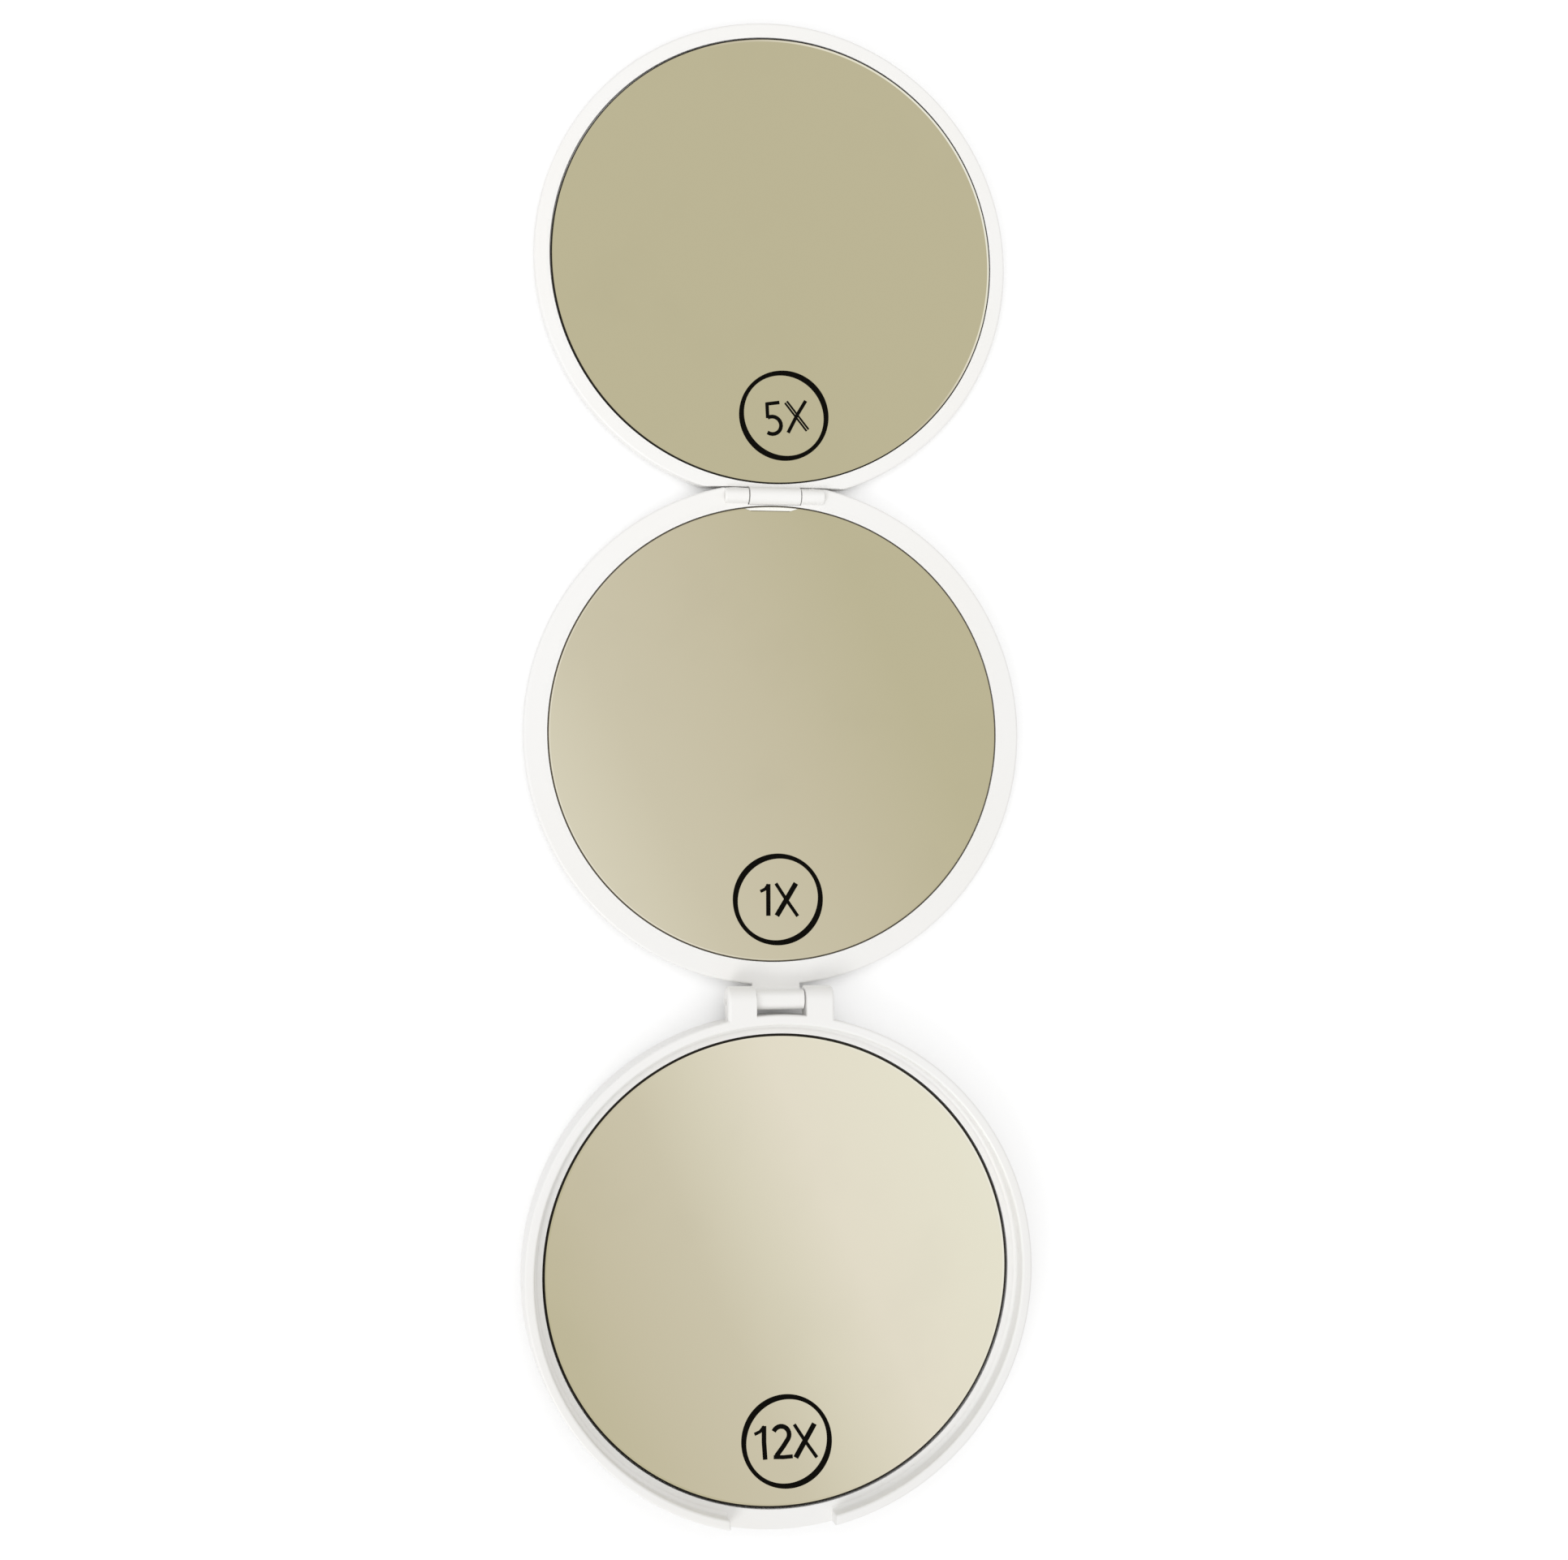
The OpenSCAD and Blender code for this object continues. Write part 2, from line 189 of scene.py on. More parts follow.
# %% White gloss plastic
white_plastic, wire, shader = new_material("white_gloss_plastic", IOR=1.5)
drift = noise(wire, 25).smoothstep(0.35, 0.65)
feed(shader, Base_Color=drift.mix((0.895, 0.885, 0.865), (0.90, 0.895, 0.885)))
handled = noise(wire, 90, 4).smoothstep(0.4, 0.75)
feed(shader, Roughness=0.29 + 0.08 * handled)
ripple = noise(wire, 350, 1)
feed(shader, Normal=wire.node("ShaderNodeBump", None,
                              {"Strength": 0.015, "Distance": 0.1 * MM, "Height": ripple}))
print(white_plastic.name)

# %% [markdown]
# Each mirror is a sheet of glass silvered on its back. What shows is the silver, so the face is a
# metal with a clear coat for the glass. The two hollow glasses have a ground bevel, which has no
# silver behind it and looks nearly black, and the flat one has a cut edge that is a little paler.
# The numbers on the mirrors are printed in black ink.

# %% Silvered glass and its ground edge
silver, wire, shader = new_material("silvered_glass", Metallic=1.0, Coat_Weight=0.3, Coat_Roughness=0.0)
smudge = noise(wire, 60, 3).smoothstep(0.5, 0.8)
feed(shader, Base_Color=smudge.mix((0.94, 0.945, 0.93), (0.92, 0.925, 0.91)))
feed(shader, Roughness=0.012 + 0.02 * smudge)

ground_edge, wire, shader = new_material("ground_glass_edge", Specular_IOR_Level=0.12)
grit = noise(wire, 2500, 2)
feed(shader, Base_Color=grit.mix((0.012, 0.010, 0.007), (0.035, 0.030, 0.022)))
feed(shader, Roughness=0.4 + 0.2 * grit)

cut_edge, wire, shader = new_material("polished_glass_edge", Specular_IOR_Level=0.3)
grit = noise(wire, 2500, 2)
feed(shader, Base_Color=grit.mix((0.10, 0.085, 0.055), (0.20, 0.17, 0.12)))
feed(shader, Roughness=0.3 + 0.2 * grit)

ink, wire, shader = new_material("printed_ink", Specular_IOR_Level=0.02)
dots = noise(wire, 3000, 3)
feed(shader, Base_Color=dots.mix((0.002, 0.002, 0.001), (0.007, 0.006, 0.005)))
feed(shader, Roughness=0.4 + 0.3 * dots)
print(silver.name, ground_edge.name, cut_edge.name, ink.name)

# %% [markdown]
# The rest is small or hidden: drawn steel hinge pins, off-white double-sided tape and grey foam.
# The steel's noise is stretched along X, the way in which the pins were drawn.

# %% Steel, tape and foam
steel, wire, shader = new_material("drawn_steel", Metallic=1.0)
place = wire.node("ShaderNodeTexCoord", output=3)
lengthwise = wire.node("ShaderNodeMapping", None, {"Vector": place, "Scale": (60, 6000, 6000)})
drawn = wire.node("ShaderNodeTexNoise", None, {"Vector": lengthwise, "Scale": 1.0})
feed(shader, Base_Color=drawn.mix((0.52, 0.52, 0.53), (0.66, 0.66, 0.67)))
feed(shader, Roughness=0.25 + 0.15 * drawn)

tape, wire, shader = new_material("double_sided_tape", IOR=1.45)
fibre = noise(wire, 900, 5)
feed(shader, Base_Color=fibre.mix((0.72, 0.71, 0.66), (0.80, 0.79, 0.75)))
feed(shader, Roughness=0.45 + 0.2 * fibre)

foam, wire, shader = new_material("grey_foam")
place = wire.node("ShaderNodeTexCoord", output=3)
cells = wire.node("ShaderNodeTexVoronoi", None, {"Vector": place, "Scale": 2600.0})
feed(shader, Base_Color=cells.mix((0.20, 0.20, 0.20), (0.42, 0.42, 0.41)))
feed(shader, Roughness=0.75 + 0.2 * cells)
feed(shader, Normal=wire.node("ShaderNodeBump", None,
                              {"Strength": 0.5, "Distance": 0.2 * MM, "Height": cells}))
print(steel.name, tape.name, foam.name)

# %% [markdown]
# The compact lies on a plain pale floor. The camera sees three quarters of the floor as plain white
# and one quarter as paint, which takes the compact's shadow. Close to the compact the share of paint
# grows, so the shadow is darkest where the compact touches the floor.

# %% Floor
PLAIN_WHITE = 0.76
SHADOW_REACH = 12 * MM


def add_stage(name, material):
    made = bpy.context.object
    made.name = name
    made.data.materials.clear()
    made.data.materials.append(material)
    return made


floor_paint, wire, shader = new_material("pale_floor", Roughness=0.9)
mottle = noise(wire, 6)
feed(shader, Base_Color=mottle.mix((0.93, 0.93, 0.93), (0.95, 0.95, 0.95)))
glow = wire.node("ShaderNodeEmission", None, {"Color": (1, 1, 1, 1), "Strength": 1.1})
seen = wire.node("ShaderNodeLightPath", output="Is Camera Ray")
open_sky = wire.node("ShaderNodeAmbientOcclusion", {"samples": 4}, {"Distance": SHADOW_REACH},
                     output="AO")
paint = Wire(wire.tree, shader.outputs[0])
cover = wire.node("ShaderNodeMixShader", None, {0: PLAIN_WHITE * seen * open_sky, 1: paint, 2: glow})
wire.tree.links.new(cover.socket, wire.tree.nodes["Material Output"].inputs["Surface"])
bpy.ops.mesh.primitive_plane_add(size=6, location=(0, 0.085, -0.02 * MM))
floor = add_stage("floor", floor_paint)
print(floor.name, "ready")

# %% [markdown]
# The light is soft. The world is white where it is seen directly or in a gloss, and dimmer as a
# lamp. A large lamp to the lower left adds the rest, and a small one above the leaf makes that end a
# little brighter. The small one would show in the mirrors, so gloss misses it.

# %% World and lamps
world = bpy.data.worlds.new("studio")
world.use_nodes = True
bpy.context.scene.world = world
background = world.node_tree.nodes["Background"]
background.inputs["Color"].default_value = (1, 1, 1, 1)
WORLD_LIGHT = 0.70
wire = Wire(world.node_tree)
by_camera, in_gloss, through = (wire.node("ShaderNodeLightPath", output=f"Is {kind} Ray")
                                for kind in ("Camera", "Glossy", "Transmission"))
direct = wire.math("MINIMUM", by_camera + in_gloss + through, 1.0)
strength = WORLD_LIGHT + (1 - WORLD_LIGHT) * direct
wire.tree.links.new(strength.socket, background.inputs["Strength"])


def soft_lamp(name, place, aim, size, power, in_gloss):
    """A square lamp that points at aim."""
    data = bpy.data.lights.new(name, "AREA")
    data.shape = "SQUARE"
    data.size = size
    data.energy = power
    lamp = bpy.data.objects.new(name, data)
    lamp.location = place
    lamp.rotation_euler = (Vector(aim) - Vector(place)).to_track_quat("-Z", "Y").to_euler()
    lamp.visible_glossy = in_gloss
    bpy.context.scene.collection.objects.link(lamp)


soft_lamp("window_lamp", (-0.9, -1.0, 1.2), (0, 0.08, 0), 0.8, 8.8, True)
soft_lamp("top_lamp", (-0.02, 0.22, 0.36), (-0.02, 0.20, 0), 0.2, 0.29, False)
print("world", WORLD_LIGHT)

# %% [markdown]
# A mirror shows the room, and a compact that lies on a table shows the ceiling. In the photograph
# it is a dull beige room that gets lighter to the lower left. A dome stands in for that room. Only
# gloss sees it, so it tints the mirrors and hardly the white plastic. Its shade follows the slope of
# the direction to the right and upwards, and a ramp turns the shade into a colour.

# %% The room that the mirrors show
OVERHEAD = 0.723
FALL_RIGHT, FALL_UP = 0.892, 0.434
HORIZON = 0.05
room_paint = bpy.data.materials.new("beige_room")
room_paint.use_nodes = True
room_paint.node_tree.nodes.remove(room_paint.node_tree.nodes["Principled BSDF"])
wire = Wire(room_paint.node_tree)
place = wire.node("ShaderNodeTexCoord", output=3)
apart = wire.node("ShaderNodeSeparateXYZ", None, {0: place})
x, y, z = (Wire(wire.tree, socket) for socket in apart.socket.node.outputs)
up = wire.math("MAXIMUM", z, HORIZON)
shade = OVERHEAD - FALL_RIGHT * (x / up) - FALL_UP * (y / up)
room_colour = wire.node("ShaderNodeValToRGB", {"stops": (
    (0.46, (0.532, 0.486, 0.322)), (0.52, (0.591, 0.536, 0.386)), (0.58, (0.633, 0.580, 0.436)),
    (0.62, (0.712, 0.664, 0.520)), (0.67, (0.806, 0.750, 0.619)), (0.75, (0.831, 0.795, 0.655)),
    (0.92, (0.93, 0.92, 0.85)))}, {"Fac": shade})
shine = wire.node("ShaderNodeEmission", None, {"Color": room_colour, "Strength": 1.0})
wire.tree.links.new(shine.socket, wire.tree.nodes["Material Output"].inputs["Surface"])
room_paint.cycles.emission_sampling = "NONE"

bpy.ops.object.select_all(action="DESELECT")
bpy.ops.mesh.primitive_uv_sphere_add(segments=64, ring_count=32, radius=3, location=(0, 0, 0))
room = add_stage("room", room_paint)
for ray in ("visible_camera", "visible_diffuse", "visible_transmission", "visible_shadow",
            "visible_volume_scatter"):
    setattr(room, ray, False)
print("room ready")

# %% [markdown]
# Every node of the CAD model gets its finish first, in case it stays as it is. The hinge pins, the
# tapes and the foam dots do, because their shapes are already right.

# %% Finish of each node
FINISHES = {
    white_plastic: ("base_shell", "base_tray", "lid_cover", "lid_frame", "leaf_cover", "leaf_frame"),
    silver: ("mirror_12x", "mirror_1x", "mirror_5x"),
    steel: ("lower_hinge_pin", "upper_hinge_pin"),
    tape: ("base_glue_tape", "lid_glue_tape", "leaf_glue_tape"),
    foam: ("base_foam_dot", "leaf_foam_dot"),
}
for finish, names in FINISHES.items():
    for name in names:
        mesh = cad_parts[name].data
        mesh.materials.clear()
        mesh.materials.append(finish)
print({finish.name: len(names) for finish, names in FINISHES.items()})

# %% [markdown]
# The mouldings and the glass are round, so they are turned like work on a lathe: a section is drawn
# as a chain of points, its corners are rounded, and it is spun about the disc's middle. Rounding
# the flat section is far easier than rounding the finished solid. The helpers here pick parts of a
# mesh by their place, draw a section and spin it. Two points nearer than SAME are one place, and
# a point nearer to a cut than ON_PLANE lies on it.

# %% Drawing and turning
SAME = 0.005
ON_PLANE = 0.002
STEPS = 240
ACROSS_X = Vector((1, 0, 0))
ACROSS_Y = Vector((0, 1, 0))
UP_Z = Vector((0, 0, 1))


def take(piece):
    """Makes piece the only selected object and the active one."""
    bpy.ops.object.select_all(action="DESELECT")
    piece.select_set(True)
    bpy.context.view_layer.objects.active = piece


def pick(piece, kind, test):
    """Leaves piece in edit mode with the parts selected whose points, in millimetres, all pass."""
    if bpy.context.object != piece:
        take(piece)
    bpy.ops.object.mode_set(mode="EDIT")
    bpy.ops.mesh.select_mode(type=kind)
    bpy.ops.mesh.select_all(action="DESELECT")
    bpy.ops.object.mode_set(mode="OBJECT")
    mesh = piece.data
    passed = [test(v.co / MM) for v in mesh.vertices]
    if kind == "VERT":
        mesh.vertices.foreach_set("select", passed)
    else:
        for part in mesh.edges if kind == "EDGE" else mesh.polygons:
            part.select = all(passed[i] for i in part.vertices)
    bpy.ops.object.mode_set(mode="EDIT")


def draw(name, points, across=ACROSS_X, up=UP_Z):
    """A new piece in edit mode: a closed face through (across, up) points in millimetres."""
    bpy.ops.object.select_all(action="DESELECT")
    bpy.ops.mesh.primitive_plane_add(size=MM, location=(0, 0, 0))
    piece = bpy.context.object
    piece.name = piece.data.name = name
    bpy.ops.object.mode_set(mode="EDIT")
    bpy.ops.mesh.select_mode(type="VERT")
    bpy.ops.mesh.merge(type="CENTER")
    pen = Vector((0, 0, 0))
    for i, (distance, height) in enumerate(points):
        step = (distance * across + height * up) * MM - pen
        if i == 0:
            bpy.ops.transform.translate(value=step)
        else:
            bpy.ops.mesh.extrude_region_move(TRANSFORM_OT_translate={"value": step})
        pen += step
    bpy.ops.mesh.select_all(action="SELECT")
    bpy.ops.mesh.edge_face_add()
    return piece


def section(name, corners, across=ACROSS_X):
    """A drawn face with rounded corners. Corners are (distance, height, rounding) in millimetres."""
    piece = draw(name, [corner[:2] for corner in corners], across)
    for size in sorted({corner[2] for corner in corners} - {0}):
        places = [corner[:2] for corner in corners if corner[2] == size]
        pick(piece, "VERT", lambda p: any(math.dist((p @ across, p.z), place) < SAME
                                          for place in places))
        bpy.ops.mesh.bevel(offset=size * MM, segments=4 if size < 0.5 else 8, affect="VERTICES")
    return piece


def clean(piece, crease=30):
    """Merges doubles, points faces outwards and shades smooth up to the crease angle in degrees."""
    if bpy.context.object != piece:
        take(piece)
    bpy.ops.object.mode_set(mode="EDIT")
    bpy.ops.mesh.select_all(action="SELECT")
    bpy.ops.mesh.remove_doubles(threshold=0.002 * MM)
    bpy.ops.mesh.normals_make_consistent(inside=False)
    bpy.ops.object.mode_set(mode="OBJECT")
    take(piece)
    bpy.ops.object.shade_smooth_by_angle(angle=math.radians(crease))
    return piece


def turned(name, corners, y, crease=30):
    """A section spun about the upright line at y."""
    piece = section(name, corners)
    bpy.ops.mesh.select_all(action="SELECT")
    bpy.ops.mesh.delete(type="ONLY_FACE")
    pick(piece, "EDGE", lambda p: p.x < SAME)
    bpy.ops.mesh.delete(type="EDGE")
    bpy.ops.mesh.select_all(action="SELECT")
    bpy.ops.mesh.spin(steps=STEPS, angle=math.tau, center=(0, 0, 0), axis=(0, 0, 1))
    clean(piece, crease)
    bpy.ops.object.mode_set(mode="EDIT")
    bpy.ops.mesh.select_all(action="SELECT")
    bpy.ops.transform.translate(value=(0, y * MM, 0))
    bpy.ops.object.mode_set(mode="OBJECT")
    return piece


print("lathe ready")

# %% [markdown]
# A moulding has flat faces and rounded edges. Smooth shading alone would let the turn at a rounded
# edge run far into the flat face beside it, so each corner of the mesh leans to its larger face.
# Then the piece gets its finish, the body that it moves with, and the nodes that it stands for.

# %% Finishing a piece
def weigh_normals(piece):
    """Shades the flat faces of a moulding flat, and leaves the turn at its edges to the rounding."""
    take(piece)
    weigh = piece.modifiers.new("weigh", "WEIGHTED_NORMAL")
    weigh.keep_sharp = True
    bpy.ops.object.modifier_apply(modifier=weigh.name)


def finish_piece(piece, body, slot, material, *replaced):
    """Gives a finished piece its material and body, and hides the nodes that it stands for. The slot is
    not used.
    """
    if material is white_plastic:
        weigh_normals(piece)
    if not piece.data.materials:
        piece.data.materials.append(material)
    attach(piece, body)
    if replaced:
        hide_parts(*replaced)
    print(piece.name, len(piece.data.polygons), "faces")


print("finishing ready")

# %% [markdown]
# The three glasses come first. Two are hollow, so their faces are shallow bowls: the deeper bowl
# magnifies twelve times and the other five times. A glass that has been ground at the edge shows
# two narrow rings: a polished one, which still has silver behind it, and outside it the dull bevel.
# On the hollow glasses the polished ring rises outwards a little, so it mirrors another part of the
# room than the bowl does and stands out as a bright line on one side. The face is drawn as an arc
# of a big circle, point by point. The glue holds two of the glasses a hair off the middle, so their
# dark edge is wider on one side. The shading breaks at a very small angle, or the ring would be
# blended with the face and would bend what the whole mirror shows.

# %% The three mirrors
LID_Y, LEAF_Y = 90, 170.2
ARC_POINTS = 24
GLASS_CREASE = 1.2
# Finishes of a glass. The third is a painted reflection, used only on the lid's glass.
SILVERED, EDGE, PAINTED_REFLECTION = 0, 1, 2


def bowl(curve_r, radius, edge_h):
    """Points of a hollow face from the middle to its edge, or of a flat one where curve_r is 0."""
    if not curve_r:
        return [(0, edge_h, 0), (radius, edge_h, 0)]
    middle = edge_h + math.sqrt(curve_r ** 2 - radius ** 2)
    steps = [radius * i / ARC_POINTS for i in range(ARC_POINTS + 1)]
    return [(r, middle - math.sqrt(curve_r ** 2 - r ** 2), 0) for r in steps]


def mirror(name, node, y, curve_r, thickness, fit, shift, bevel, polish, slope, edge):
    """A glass larger than the node by fit. Its ring is polish wide, falls outwards by slope and ends at
    a bevel, and shift moves the whole glass."""
    low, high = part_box(node)
    radius, top = (high.x - low.x) / MM / 2 + fit, high.z / MM
    face_r = radius - bevel - polish
    face = bowl(curve_r, face_r, top)
    back = bowl(curve_r and curve_r + thickness, radius, top - thickness)
    rim = [(face_r + polish, top - polish * slope, 0), (radius, top - polish * slope - bevel, 0)]
    piece = turned(name, face + rim + back[::-1], y, GLASS_CREASE)
    for material in (silver, edge):
        piece.data.materials.append(material)
    for polygon in piece.data.polygons:
        middle = polygon.center / MM - Vector((0, y, 0))
        on_face = polygon.normal.z > 0.5 and middle.xy.length < radius - bevel
        polygon.material_index = SILVERED if on_face else EDGE
    bpy.ops.object.mode_set(mode="EDIT")
    bpy.ops.mesh.select_all(action="SELECT")
    bpy.ops.transform.translate(value=(shift[0] * MM, shift[1] * MM, 0))
    bpy.ops.object.mode_set(mode="OBJECT")
    return piece


base_glass = mirror("base_mirror", "mirror_12x", 0, curve_r=320, thickness=1.2, fit=0.02,
                    shift=(-0.07, 0.07), bevel=0.31, polish=0.3, slope=-0.16, edge=ground_edge)
lid_glass = mirror("lid_mirror", "mirror_1x", LID_Y, curve_r=0, thickness=1.2, fit=0.1,
                   shift=(0, 0), bevel=0.16, polish=0.2, slope=0.05, edge=cut_edge)
leaf_glass = mirror("leaf_mirror", "mirror_5x", LEAF_Y, curve_r=620, thickness=1.0, fit=0.05,
                    shift=(0.1, -0.05), bevel=0.16, polish=0.3, slope=-0.25, edge=ground_edge)
for glass in (base_glass, lid_glass, leaf_glass):
    print(glass.name, round(glass.dimensions.x / MM, 2), "mm across")

# %% [markdown]
# At the hinge the lid's glass has a painted reflection by its edge. It is a white sliver painted where
# the glass would mirror the hinge's tongue, with a thin painted dark line around it for the reflected
# gap. The face of the glass is cut along the sliver's outline, and the faces inside it get another
# finish.

# %% Painted reflection on the lid's glass
# A white finish painted on the glass that stands in for the tongue's reflection.
painted_reflection_glass, wire, shader = new_material("painted_tongue_reflection", IOR=1.5)
reflection_mottle = noise(wire, 400, 2)
feed(shader, Base_Color=reflection_mottle.mix((0.93, 0.92, 0.85), (0.96, 0.955, 0.91)))
feed(shader, Roughness=0.3 + 0.05 * reflection_mottle)
PATCH_Y = 127.62
PATCH_LEFT, PATCH_RIGHT = -4.2, 2.8
ENDS = 3
PATCH_R = 38.25
PAINTED_GAP_LINE = 0.12
FACE_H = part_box("mirror_1x")[1].z / MM - 0.02


def in_painted_reflection(p, grow=0.0):
    """Whether a point in millimetres is in the painted reflection, whose ends slope outwards, or in the
    painted dark line around it.
    """
    rise = ENDS * (p.y - PATCH_Y)
    between_ends = PATCH_LEFT - grow - rise < p.x < PATCH_RIGHT + grow + rise
    on_face = p.z > FACE_H and (p.xy - Vector((0, LID_Y))).length < PATCH_R
    return on_face and between_ends and p.y > PATCH_Y - grow


for grow in (0, PAINTED_GAP_LINE):
    long_cut = ((0, PATCH_Y - grow, 0), (0, 1, 0))
    left_cut = ((PATCH_LEFT - grow, PATCH_Y, 0), (1, ENDS, 0))
    right_cut = ((PATCH_RIGHT + grow, PATCH_Y, 0), (-1, ENDS, 0))
    for corner, normal in (long_cut, left_cut, right_cut):
        pick(lid_glass, "FACE", lambda p: p.z > FACE_H)
        bpy.ops.mesh.bisect(plane_co=Vector(corner) * MM, plane_no=Vector(normal).normalized(),
                            threshold=0.001 * MM)
bpy.ops.object.mode_set(mode="OBJECT")
lid_glass.data.materials.append(painted_reflection_glass)
# Faces inside the outline get the painted reflection. The band around it gets the dark edge finish as a
# painted line of shade.
for polygon in lid_glass.data.polygons:
    middle = polygon.center / MM
    if in_painted_reflection(middle):
        polygon.material_index = PAINTED_REFLECTION
    elif in_painted_reflection(middle, PAINTED_GAP_LINE):
        polygon.material_index = EDGE
print("bare patch:", sum(p.material_index == PAINTED_REFLECTION for p in lid_glass.data.polygons), "faces")
finish_piece(base_glass, "base", "mirror_glass", silver, "mirror_12x")
finish_piece(lid_glass, "lid", "mirror_glass", silver, "mirror_1x")
finish_piece(leaf_glass, "leaf", "mirror_glass", silver, "mirror_5x")

# %% [markdown]
# The hinges need shapes that run straight along X instead: ears, a knuckle, a tongue. Each is a
# section drawn across Y and pulled along X, and it is then joined to its disc with a Boolean, which
# leaves one closed skin as a real moulding has. Bores are cut the same way.

# %% Pulling, joining and cutting
def pulled(name, corners, x0, x1):
    """A section in the Y-Z plane pulled from x0 to x1."""
    piece = section(name, corners, ACROSS_Y)
    bpy.ops.mesh.select_all(action="SELECT")
    bpy.ops.transform.translate(value=(x0 * MM, 0, 0))
    bpy.ops.mesh.extrude_region_move(TRANSFORM_OT_translate={"value": ((x1 - x0) * MM, 0, 0)})
    bpy.ops.mesh.select_all(action="SELECT")
    bpy.ops.mesh.normals_make_consistent(inside=False)
    bpy.ops.object.mode_set(mode="OBJECT")
    return piece


def bevel_edges(piece, test, size, segments=4):
    """Rounds the edges whose ends pass the test."""
    pick(piece, "EDGE", test)
    bpy.ops.mesh.bevel(offset=size * MM, segments=segments, affect="EDGES")
    bpy.ops.object.mode_set(mode="OBJECT")


def boolean(piece, tool, operation):
    """Applies a Boolean of piece with tool, and removes the tool."""
    take(piece)
    modifier = piece.modifiers.new("boolean", "BOOLEAN")
    modifier.object = tool
    modifier.operation = operation
    modifier.solver = "EXACT"
    bpy.ops.object.modifier_apply(modifier=modifier.name)
    bpy.data.objects.remove(tool)


def rod(radius, axis):
    """A tool for a bore along a hinge axis."""
    y, z = axis
    bpy.ops.object.select_all(action="DESELECT")
    bpy.ops.mesh.primitive_cylinder_add(vertices=48, radius=radius * MM, depth=24 * MM,
                                        location=(0, y * MM, z * MM), rotation=(0, math.pi / 2, 0))
    return bpy.context.object


def other_side(piece):
    """A copy of piece with its own mesh, mirrored to the other side of X = 0."""
    copy = piece.copy()
    copy.data = piece.data.copy()
    bpy.context.scene.collection.objects.link(copy)
    take(copy)
    bpy.ops.object.mode_set(mode="EDIT")
    bpy.ops.mesh.select_all(action="SELECT")
    bpy.ops.transform.resize(value=(-1, 1, 1), center_override=(0, 0, 0))
    bpy.ops.mesh.normals_make_consistent(inside=False)
    bpy.ops.object.mode_set(mode="OBJECT")
    return copy


LOWER_AXIS = (45.0, 5.994)
UPPER_AXIS = (130.1, 3.252)
print("hinge axes at", LOWER_AXIS, UPPER_AXIS)

# %% [markdown]
# The base is a shallow bowl. Its rim runs round a well, and a soft fillet leads from the rim down to
# the ledge. The ledge is a piece of its own, so the fillet belongs to the rim's section and ends in
# a thin step that stands on the ledge.

# %% Base moulding
RIM_R, RIM_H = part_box("base_shell")[1].x / MM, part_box("base_shell")[1].z / MM
WELL_R = 41.2
LEDGE_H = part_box("base_tray")[1].z / MM
FLOOR_H = 1.1
FILLET = 0.65
FILLET_R = WELL_R - FILLET - 0.01
FILLET_H = LEDGE_H - 0.02
base = turned("base_moulding", [
    (0, 0, 0), (RIM_R, 0, 2.2), (RIM_R, LEDGE_H, 0), (RIM_R, RIM_H, 0.4), (WELL_R, RIM_H, 0.45),
    (WELL_R, LEDGE_H, FILLET), (FILLET_R, LEDGE_H, 0), (FILLET_R, FILLET_H, 0), (WELL_R, FILLET_H, 0),
    (WELL_R, FLOOR_H, 0), (0, FLOOR_H, 0)], 0)
print("rim", round(RIM_H, 2), "mm high, ledge", round(LEDGE_H, 2), "mm high")

# %% [markdown]
# At the front the rim is missing for the width of the upper hinge, which drops in there when the
# compact is shut. That gap is made as by hand: the rim is cut through on both sides, the faces
# between are deleted, the two open edges are bridged to make the floor of the gap, and the ends of
# the rim are filled and rounded.

# %% Gap in the rim
NOTCH_HALF = 8.95


def on_rim_front(p):
    """Whether a point is on the stretch of the rim that the gap is cut from."""
    return p.y < 0 and p.z > LEDGE_H - 0.03 and abs(p.x) < NOTCH_HALF + 5


for side in (-1, 1):
    pick(base, "FACE", on_rim_front)
    bpy.ops.mesh.bisect(plane_co=(side * NOTCH_HALF * MM, 0, 0), plane_no=(1, 0, 0))
pick(base, "FACE", lambda p: on_rim_front(p) and abs(p.x) < NOTCH_HALF + ON_PLANE)
bpy.ops.mesh.delete(type="FACE")
pick(base, "EDGE", lambda p: p.y < 0 and abs(p.x) < NOTCH_HALF + ON_PLANE and abs(p.z - LEDGE_H) < 0.03
     and p.xy.length > WELL_R - 0.02)
bpy.ops.mesh.bridge_edge_loops()
bpy.ops.mesh.select_mode(type="EDGE")
bpy.ops.mesh.select_all(action="DESELECT")
bpy.ops.mesh.select_non_manifold(use_wire=False, use_multi_face=False, use_non_contiguous=False,
                                 use_verts=False)
bpy.ops.mesh.fill_holes(sides=0)
bevel_edges(base, lambda p: p.y < 0 and abs(abs(p.x) - NOTCH_HALF) < ON_PLANE and p.z > LEDGE_H + 0.3,
            size=0.22, segments=3)
print("gap in the rim", 2 * NOTCH_HALF, "mm wide")

# %% [markdown]
# Two ears stand behind the rim and hold the pin. From the side each ear is a drop: round about the
# pin and thinner where it reaches the rim. Its top is level with the rim's top, and its outer end
# is well rounded. One ear is shaped, bored and cut to a root that ends inside the rim's wall. Its
# copy is mirrored, and both are joined to the bowl.

# %% Ears of the base
EAR_IN, EAR_OUT = 4.25, 9.0
EAR_R = RIM_H - LOWER_AXIS[1]
EAR_BORE_R = 0.61
EAR_ROOT_R = WELL_R + 0.85


def arc(middle, radius, start, end, count):
    """Corners along an arc between two angles, which are in degrees and grow anticlockwise."""
    turns = [math.radians(start + (end - start) * i / count) for i in range(count + 1)]
    return [(middle[0] + radius * math.cos(turn), middle[1] + radius * math.sin(turn), 0)
            for turn in turns]


